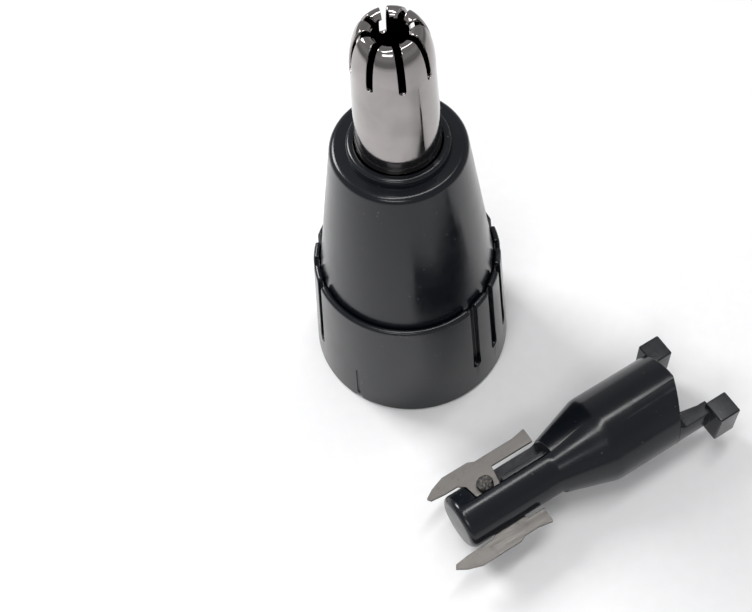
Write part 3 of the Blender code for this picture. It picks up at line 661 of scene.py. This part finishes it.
def guard_side():
    """The guard's outer side (radius, height, half width of the slot there), going down."""
    rows = []
    roll = GUARD_CREST - GUARD_HOLE
    for step in range(9):
        angle = math.pi / 2 * step / 8
        rows.append((GUARD_CREST - roll * math.cos(angle),
                     GUARD_HEIGHT - GUARD_LIP + GUARD_LIP * math.sin(angle)))
    tall = GUARD_HEIGHT - GUARD_NECK_HEIGHT
    dome = [GUARD_NECK_HEIGHT + tall * math.cos(math.pi / 2 * step / 20) for step in range(1, 21)]
    half = SLOT_WIDTH / 2
    end = [SLOT_LOW + half * (1 - math.sin(math.pi / 2 * step / 6)) for step in range(7)]
    flare = GUARD_FLANGE_HEIGHT + 0.5
    tube = [GUARD_NECK_HEIGHT + (flare - GUARD_NECK_HEIGHT) * step / 9 for step in range(1, 10)]
    heights = [height for height in dome if height > end[0] + 0.02] + end
    heights += [height for height in dome if height < end[-1] - 0.02] + tube
    rows += [(guard_radius(height), height) for height in heights]
    for step in range(1, 6):
        angle = math.pi / 2 * step / 5
        rows.append((GUARD_BASE + 0.5 * (1 - math.cos(angle)), flare - 0.5 * math.sin(angle)))
    rows += [(GUARD_BASE + 0.9, GUARD_FLANGE_HEIGHT), (GUARD_FLANGE, GUARD_FLANGE_HEIGHT)]
    side = []
    for radius, height in rows:
        above = min(half, max(0.0, height - SLOT_LOW))
        side.append((radius, height, math.sqrt(max(0.0, half ** 2 - (half - above) ** 2))))
    return side


def make_guard_tube():
    """Thin steel tube with a flange and a domed end that eight slots cut into fingers."""
    columns = 14
    pitch = math.tau / SLOT_COUNT
    bm = bmesh.new()
    rows = []
    for radius, height, half in guard_side():
        start = math.asin(half / radius)
        row = []
        for column in range(columns + 1):
            angle = math.radians(SLOT_PHASE) + start + (pitch - 2 * start) * column / columns
            row.append(bm.verts.new((radius * math.cos(angle), radius * math.sin(angle), height)))
        rows.append(row)
    for upper, lower in zip(rows, rows[1:]):
        for i in range(columns):
            bm.faces.new((upper[i], lower[i], lower[i + 1], upper[i + 1]))
    size = Matrix.Scale(MM, 4)
    bmesh.ops.transform(bm, verts=bm.verts[:], matrix=size)
    mesh = bpy.data.meshes.new("guard_tube")
    bm.to_mesh(mesh)
    bm.free()
    guard = bpy.data.objects.new("guard_tube", mesh)
    bpy.context.scene.collection.objects.link(guard)
    run_tree(guard, ROUND_REPEAT, Count=SLOT_COUNT, Step=pitch, Material=BRIGHT_STEEL)
    wall = guard.modifiers.new("wall", "SOLIDIFY")
    wall.thickness = GUARD_WALL * MM
    wall.offset = -1.0
    settle(guard)
    soften(guard, 0.05, 2, 60.0)
    return finish_piece(guard, "head", ["slotted_guard"], BRIGHT_STEEL, 40.0)


def make_inner_rings():
    """The round pieces round and under the guard, and those inside the skirt."""
    collar = [(4.03, 33.47, 0.05), (4.03, 34.15, 0.1), (4.75, 34.15, 0.35), (4.75, 33.47, 0)]
    retainer = [(4.75, 30.05, 0.08), (4.75, 31.5, 0.08), (5.5, 31.5, 0.15), (5.5, 30.05, 0.15)]
    guide = [(4.9, 20.2, 0.2), (4.9, 29.8, 0.2), (5.4, 29.8, 0.1), (5.4, 21.0, 0.25),
             (6.6, 21.0, 0.15), (6.6, 20.2, 0.15)]
    for name, corners, node, material in (
        ("tube_collar_ring", collar, "tube_collar", GLOSS_BLACK),
        ("guard_seat_ring", retainer, "guard_retainer", INNER_BLACK),
        ("rotor_sleeve_ring", guide, "rotor_guide", INNER_BLACK),
    ):
        ring = to_object(name, turned(rounded(corners), even_angles(144)))
        finish_piece(ring, "head", [node], material)
    seal = [(SEAL_RADIUS + SEAL_WIRE * math.cos(math.tau * i / 20),
             SEAL_HEIGHT + SEAL_WIRE * math.sin(math.tau * i / 20)) for i in range(20)]
    ring = to_object("skirt_seal", turned(seal, even_angles(128)))
    finish_piece(ring, "head", ["seal_ring"], SEAL_RUBBER)


def make_bayonet():
    """Ring inside the collar whose three lugs hook over the handle's studs."""
    section = rounded([
        (BAYONET_LUG, BAYONET_HIGH, 0.12), (BAYONET, BAYONET_HIGH, 0.1),
        (BAYONET, BAYONET_LOW, 0.15), (BAYONET_BORE, BAYONET_LOW, 0.15),
        (BAYONET_BORE, BAYONET_STEP, 0.05), (BAYONET_LUG, BAYONET_STEP, 0.12),
    ])
    ring = to_object("bayonet_lugs", turned(section, even_angles(144)))
    bm = bmesh.new()
    add_box(bm, (2.0, -BAYONET_GAP / 2, BAYONET_STEP - 1.0),
            (BAYONET_BORE - 0.05, BAYONET_GAP / 2, BAYONET_HIGH + 1.0))
    gaps = run_tree(to_object("gaps", bm), ROUND_REPEAT, Count=3, Step=math.tau / 3,
                    Material=INNER_BLACK)
    combine(ring, gaps, "DIFFERENCE")
    soften(ring, 0.06, 2, 55.0)
    return finish_piece(ring, "lock_ring", ["bayonet_ring"], INNER_BLACK)


def make_wire_pieces():
    """The open retaining clip in the skirt's groove, and the rotor's thrust spring."""
    for name, place, turn, height, body, node, values in (
        ("retaining_clip", STANDING, 90.0 + CLIP_OPENING / 2,
         (CLIP_GROOVE_LOW + CLIP_GROOVE_HIGH) / 2, "head", "snap_ring",
         {"Turns": 1.0 - CLIP_OPENING / 360.0, "Radius": CLIP_RADIUS * MM, "Rise": 0.0,
          "Wire": CLIP_WIRE * MM, "Points": 120}),
        ("thrust_coil", LAID_DOWN, 0.0, COIL_LOW, "rotor", "thrust_spring",
         {"Turns": COIL_TURNS, "Radius": COIL_RADIUS * MM, "Rise": (COIL_HIGH - COIL_LOW) * MM,
          "Wire": COIL_WIRE * MM, "Points": 40}),
    ):
        wire = to_object(name, bmesh.new())
        run_tree(wire, WIRE_COIL, Material=SPRING_STEEL, **values)
        spin = Matrix.Rotation(math.radians(turn), 4, "Z")
        wire.data.transform(place @ Matrix.Translation((0.0, 0.0, height * MM)) @ spin)
        bm = bmesh.new()
        bm.from_mesh(wire.data)
        bmesh.ops.recalc_face_normals(bm, faces=bm.faces[:])
        bm.to_mesh(wire.data)
        bm.free()
        finish_piece(wire, body, [node], SPRING_STEEL)


def make_detent_strip():
    """Bowed spring strip between the skirt and the collar."""
    bm = bmesh.new()
    rows = []
    half = DETENT_SHEET / 2
    count = 40
    for index in range(count + 1):
        share = index / count
        angle = math.radians(90 + DETENT_SPAN * (share - 0.5))
        middle = DETENT_RADIUS + DETENT_BOW * math.sin(math.pi * share) ** 4
        rows.append([bm.verts.new(((middle + side) * math.cos(angle),
                                   (middle + side) * math.sin(angle), height))
                     for side, height in ((-half, DETENT_LOW), (half, DETENT_LOW),
                                          (half, DETENT_HIGH), (-half, DETENT_HIGH))])
    for first, second in zip(rows, rows[1:]):
        for i in range(4):
            j = (i + 1) % 4
            bm.faces.new((first[i], first[j], second[j], second[i]))
    bm.faces.new(rows[0])
    bm.faces.new(list(reversed(rows[-1])))
    strip = soften(to_object("detent_strip", bm), 0.03, 2, 60.0)
    return finish_piece(strip, "head", ["detent_spring"], SPRING_STEEL)


# The rotor ----------------------------------------------------------------------------------


def make_leg(turn, low):
    """One leg: a strip of the shell's wall that flares into the rim, from a foot upwards."""
    bm = bmesh.new()
    rows = []
    flare = 0.9
    rim = SHELL_RIM + (1.1 if turn == 0.0 else -0.9)
    bends = [rim + flare * math.sin(math.pi / 2 * i / 6) for i in range(7)]
    heights = [low] + [height for height in bends if height > low + 0.05] + [7.4]
    for height in heights:
        near_rim = min(flare, max(0.0, height - rim))
        half = LEG_HALF + flare - math.sqrt(flare ** 2 - near_rim ** 2)
        row = []
        for radius in (3.4, SHELL - 0.03):
            for column in range(13):
                across = half / radius * (column / 6 - 1)
                row.append(bm.verts.new((radius * math.cos(across), radius * math.sin(across),
                                         height)))
        rows.append(row[:13] + row[:12:-1])
    for lower, upper in zip(rows, rows[1:]):
        for i in range(26):
            j = (i + 1) % 26
            bm.faces.new((lower[i], lower[j], upper[j], upper[i]))
    for row in (rows[0], rows[-1]):
        for i in range(12):
            bm.faces.new((row[i], row[i + 1], row[24 - i], row[25 - i]))
    return to_object("leg", bm, LAID_DOWN, turn)


def make_foot(turn, inner, outer, low):
    """One block foot with softened edges."""
    bm = bmesh.new()
    add_box(bm, (inner, -FOOT_HALF, low), (outer, FOOT_HALF, low + FOOT_HEIGHT))
    bmesh.ops.bevel(bm, geom=bm.edges[:], offset=0.16, segments=3, profile=0.5, affect="EDGES")
    return to_object("foot", bm, LAID_DOWN, turn)


def make_web(name, corners, half):
    """A flat plate across the rotor, in the plane of its two feet."""
    bm = bmesh.new()
    add_prism(bm, corners, lambda u, v, end: (u, half if end else -half, v))
    return to_object(name, bm, LAID_DOWN)


def local_box(low, high, turn):
    """A box in the rotor's own frame, turned about its axis."""
    bm = bmesh.new()
    add_box(bm, low, high)
    return to_object("block", bm, LAID_DOWN, turn)


def make_rotor_body():
    """Bottle-shaped moulding: split neck with two channels, taper, hollow shell, legs, feet."""
    section = rounded([
        (0.0, ROTOR_LENGTH, 0), (NECK, ROTOR_LENGTH, 0.65), (NECK, NECK_LOW, 2.0),
        (SHELL, SHELL_TOP, 3.0), (SHELL, SHELL_RIM, 0.2), (SHELL_BORE, SHELL_RIM, 0.12),
        (SHELL_BORE, SHELL_BORE_HEIGHT, 0.3), (BORE_END, BORE_END_HEIGHT, 0.3),
        (0.0, BORE_END_HEIGHT, 0),
    ], 8)
    rotor = to_object("rotor_body", turned(section, even_angles(144)), LAID_DOWN)
    back, reach, under = -0.5, SHELL + 1.0, 3.0
    rim_cut = [(back, SHELL_RIM + RIM_SLANT * back), (back, under), (reach, under),
               (reach, SHELL_RIM + RIM_SLANT * reach)]
    combine(rotor, make_web("rim_cut", rim_cut, reach), "DIFFERENCE")
    for turn, foot in ((0.0, NEAR_FOOT), (180.0, FAR_FOOT)):
        combine(rotor, make_leg(turn, foot[2] + FOOT_HEIGHT - 0.4), "UNION")
        combine(rotor, make_foot(turn, *foot), "UNION")
        combine(rotor, local_box((-5.0, 0.0, CHANNEL_LOW), (-WEB, 5.0, CHANNEL_HIGH), turn),
                "DIFFERENCE")
        combine(rotor, local_box((-1.45, -0.3, CHANNEL_LOW - 0.5), (-0.95, 1.3, 23.9), turn),
                "UNION")
    gusset = [(3.65, 7.2), (3.65, 2.15), (2.85, 2.15), (1.9, 7.2)]
    combine(rotor, make_web("gusset", gusset, 0.6), "UNION")
    soften(rotor, 0.05, 2, 50.0)
    return finish_piece(rotor, "rotor", ["rotor_carrier"], GLOSS_BLACK, 40.0)


def make_blade(name, turn, node, heel, tip):
    """Thin blade: a strip beside the neck, from its heel to past the tip, with a stake tab."""
    outline = [
        (BLADE_INNER, heel), (BLADE_EDGE, heel), (BLADE_WAIST, heel + 1.6), (BLADE_WAIST, 25.0),
        (BLADE_EDGE, 25.7), (BLADE_EDGE, tip - 2.5), (BLADE_EDGE - 0.5, tip - 1.0),
        (BLADE_EDGE - 1.1, tip), (BLADE_EDGE - 1.5, tip - 0.3), (BLADE_INNER, tip - 1.8),
        (BLADE_INNER, 27.9), (BLADE_INNER - 0.5, 27.2), (0.75, 26.8), (0.75, 24.2),
        (BLADE_INNER, 23.8),
    ]
    curve = bpy.data.curves.new(name, "CURVE")
    curve.dimensions = "2D"
    curve.fill_mode = "BOTH"
    round_over = 0.035
    curve.bevel_depth = round_over * MM
    curve.bevel_resolution = 2
    curve.offset = -round_over * MM
    curve.extrude = (BLADE_SHEET / 2 - round_over) * MM
    corners = rounded([(-out, up, 0.12) for out, up in outline], 4)
    hole = [(STAKE_HOLE * math.cos(math.tau * i / 28) - STAKE_OUT,
             STAKE_HOLE * math.sin(math.tau * i / 28) + STAKE_UP) for i in range(28)]
    for loop in (corners, hole):
        spline = curve.splines.new("POLY")
        spline.points.add(len(loop) - 1)
        spline.use_cyclic_u = True
        for point, (x, y) in zip(spline.points, loop):
            point.co = (x * MM, y * MM, 0.0, 1.0)
    blank = bpy.data.objects.new(name, curve)
    bpy.context.scene.collection.objects.link(blank)
    graph = bpy.context.evaluated_depsgraph_get()
    mesh = bpy.data.meshes.new_from_object(blank.evaluated_get(graph))
    bpy.data.objects.remove(blank)
    middle = (BLADE_SEAT + BLADE_SHEET / 2) * MM
    mesh.transform(LAID_DOWN @ Matrix.Rotation(math.radians(turn), 4, "Z")
                   @ Matrix.Translation((0.0, middle, 0.0)) @ Matrix.Rotation(math.pi / 2, 4, "X"))
    bm = bmesh.new()
    bm.from_mesh(mesh)
    bmesh.ops.remove_doubles(bm, verts=bm.verts[:], dist=0.000001)
    bmesh.ops.recalc_face_normals(bm, faces=bm.faces[:])
    bm.to_mesh(mesh)
    bm.free()
    blade = bpy.data.objects.new(name, mesh)
    bpy.context.scene.collection.objects.link(blade)
    return finish_piece(blade, "rotor", [node], BLADE_STEEL, 4.0)


def make_stake(name, turn, node):
    """Stake through the blade's hole, its head pressed flat and crinkled by a hot tool."""
    section = rounded([(0.0, 0.15, 0), (0.4, 0.15, 0), (0.4, 0.56, 0), (0.88, 0.56, 0.1),
                       (0.9, 1.22, 0.3), (0.0, 1.2, 0)], 6)
    bm = turned(section, even_angles(72))
    bmesh.ops.subdivide_edges(bm, edges=[e for e in bm.edges if e.calc_length() > 0.12], cuts=2,
                              use_grid_fill=True)
    for vertex in bm.verts:
        if vertex.co.z < 0.6:
            continue
        rough = noise.turbulence(vertex.co * 3.2 + Vector((turn, 7.0, 3.0)), 4, False)
        grow = 0.12 * (rough - 0.55)
        lift = min(1.0, (vertex.co.z - 0.6) / 0.3)
        vertex.co += Vector((vertex.co.x * 0.6, vertex.co.y * 0.6, 1.0)) * grow * lift
        vertex.co.z = min(vertex.co.z, 1.34)
    for vertex in bm.verts:
        across, along, up = vertex.co
        vertex.co = (across - STAKE_OUT, up, STAKE_UP - along)
    stake = to_object(name, bm, LAID_DOWN, turn)
    return finish_piece(stake, "rotor", [node], MELTED_PLASTIC, 60.0)


def make_drive_pieces():
    """The plug in the rotor's shell, and the brass bush on which the rotor turns."""
    hub = rounded([(1.75, 12.0, 0.1), (3.55, 12.0, 0.15), (3.55, 9.6, 0.2), (2.5, 9.6, 0.15),
                   (2.5, 8.0, 0.15), (1.75, 8.0, 0.1)])
    plug = to_object("drive_plug", turned(hub, even_angles(96)), LAID_DOWN)
    finish_piece(plug, "rotor", ["drive_hub"], INNER_BLACK)
    sleeve = rounded([(1.0, 13.2, 0.1), (1.6, 13.2, 0.12), (1.6, 7.2, 0.12), (1.0, 7.2, 0.1)])
    bush = to_object("brass_bush", turned(sleeve, even_angles(72)), LAID_DOWN)
    finish_piece(bush, "rotor_spindle", ["spindle_bush"], TURNED_BRASS)


make_cone_shell()
make_grip_collar()
make_guard_tube()
make_inner_rings()
make_bayonet()
make_wire_pieces()
make_detent_strip()
make_rotor_body()
make_blade("cutter_far", 0.0, "blade_far", *FAR_BLADE_ENDS)
make_blade("cutter_near", 180.0, "blade_near", *NEAR_BLADE_ENDS)
make_stake("stake_far", 0.0, "blade_stake_far")
make_stake("stake_near", 180.0, "blade_stake_near")
make_drive_pieces()


# Studio -------------------------------------------------------------------------------------


def make_floor():
    """White surface that fades out into the white surroundings."""
    bm = bmesh.new()
    bmesh.ops.create_grid(bm, x_segments=8, y_segments=8, size=0.6)
    mesh = bpy.data.meshes.new("studio_floor")
    bm.to_mesh(mesh)
    bm.free()
    floor = bpy.data.objects.new("studio_floor", mesh)
    floor.location.z = -0.00002
    bpy.context.scene.collection.objects.link(floor)
    material, tree, shader, space = start_material("floor_paper")
    paper = add_node(tree, "ShaderNodeTexNoise", Vector=space, Scale=700.0, Detail=4.0)
    tone = spread_between(tree, paper.outputs["Fac"], 0.3, 0.7)
    tree.links.new(blend_colour(tree, tone, (0.86, 0.86, 0.865), (0.88, 0.88, 0.885)),
                   shader.inputs["Base Color"])
    shader.inputs["Roughness"].default_value = 0.9
    shader.inputs["Specular IOR Level"].default_value = 0.1
    reach = add_node(tree, "ShaderNodeVectorMath", {"operation": "LENGTH"}, i0=space)
    shown = spread_between(tree, reach.outputs["Value"], 0.13, 0.24, 1.0, 0.0)
    tree.links.new(shown, shader.inputs["Alpha"])
    mesh.materials.append(material)


def make_surroundings():
    """White surroundings for the camera, and softer tones in what the gloss reflects."""
    world = bpy.data.worlds.new("studio")
    bpy.context.scene.world = world
    world.use_nodes = True
    tree = world.node_tree
    tree.nodes.clear()
    out = tree.nodes.new("ShaderNodeOutputWorld")
    space = tree.nodes.new("ShaderNodeTexCoord").outputs["Generated"]
    height = add_node(tree, "ShaderNodeSeparateXYZ", Vector=space)
    ramp = add_node(tree, "ShaderNodeValToRGB",
                    Fac=spread_between(tree, height.outputs["Z"], -1.0, 1.0))
    stops = ramp.color_ramp.elements
    stops[0].position, stops[0].color = 0.0, (0.25, 0.25, 0.26, 1.0)
    stops[1].position, stops[1].color = 1.0, (0.45, 0.45, 0.46, 1.0)
    for position, level in ((0.49, 0.35), (0.56, 0.5), (0.68, 0.5), (0.82, 0.4)):
        stop = stops.new(position)
        stop.color = (level, level, level * 1.02, 1.0)
    soft = add_node(tree, "ShaderNodeBackground", Color=ramp.outputs["Color"], Strength=0.9)
    white = add_node(tree, "ShaderNodeBackground", Color=(1.0, 1.0, 1.0, 1.0), Strength=1.0)
    ray = tree.nodes.new("ShaderNodeLightPath")
    both = tree.nodes.new("ShaderNodeMixShader")
    tree.links.new(ray.outputs["Is Camera Ray"], both.inputs["Fac"])
    tree.links.new(soft.outputs[0], both.inputs[1])
    tree.links.new(white.outputs[0], both.inputs[2])
    tree.links.new(both.outputs[0], out.inputs["Surface"])


def aimed(place, aim):
    """The rotation that points a light from its place at a spot."""
    return (Vector(aim) - Vector(place)).to_track_quat("-Z", "Y").to_euler()


def make_softbox(name, place, facing, width, length, power):
    """A rectangular soft light."""
    light = bpy.data.lights.new(name, "AREA")
    light.shape = "RECTANGLE"
    light.size = width
    light.size_y = length
    light.energy = power
    lamp = bpy.data.objects.new(name, light)
    lamp.location = place
    lamp.rotation_euler = facing
    bpy.context.scene.collection.objects.link(lamp)


def make_camera():
    """Camera that looks down at the head and the rotor at 60 degrees."""
    tilt, roll = math.radians(60.0), -0.122
    ahead = Vector((0.0, math.cos(tilt), -math.sin(tilt)))
    level = Vector((1.0, 0.0, 0.0))
    rise = Vector((0.0, math.sin(tilt), math.cos(tilt)))
    right = level * math.cos(roll) + rise * math.sin(roll)
    up = rise * math.cos(roll) - level * math.sin(roll)
    aim = Vector((-3.76, 3.0, 0.0)) * MM
    data = bpy.data.cameras.new("studio_camera")
    data.lens = 61.35
    data.sensor_width = 36.0
    data.clip_start, data.clip_end = 0.01, 10.0
    camera = bpy.data.objects.new("studio_camera", data)
    turn = Matrix((right, up, -ahead)).transposed()
    camera.matrix_world = Matrix.Translation(aim - ahead * 144.7 * MM) @ turn.to_4x4()
    bpy.context.scene.collection.objects.link(camera)
    bpy.context.scene.camera = camera


OVERHEAD, BACK_LEFT, FRONT_TOP = (0.010, 0.013, 0.292), (-0.16, 0.14, 0.2), (-0.06, -0.2, 0.2)
make_floor()
make_surroundings()
make_softbox("overhead_strip", OVERHEAD, (0.0, 0.0, math.radians(44.0)), 0.24, 0.03, 0.3)
make_softbox("back_left", BACK_LEFT, aimed(BACK_LEFT, (0.0, -0.005, 0.02)), 0.1, 0.1, 0.56)
make_softbox("front_top", FRONT_TOP, aimed(FRONT_TOP, (0.0, 0.0, 0.04)), 0.12, 0.06, 0.14)
make_camera()
bpy.context.scene.view_settings.view_transform = "Standard"
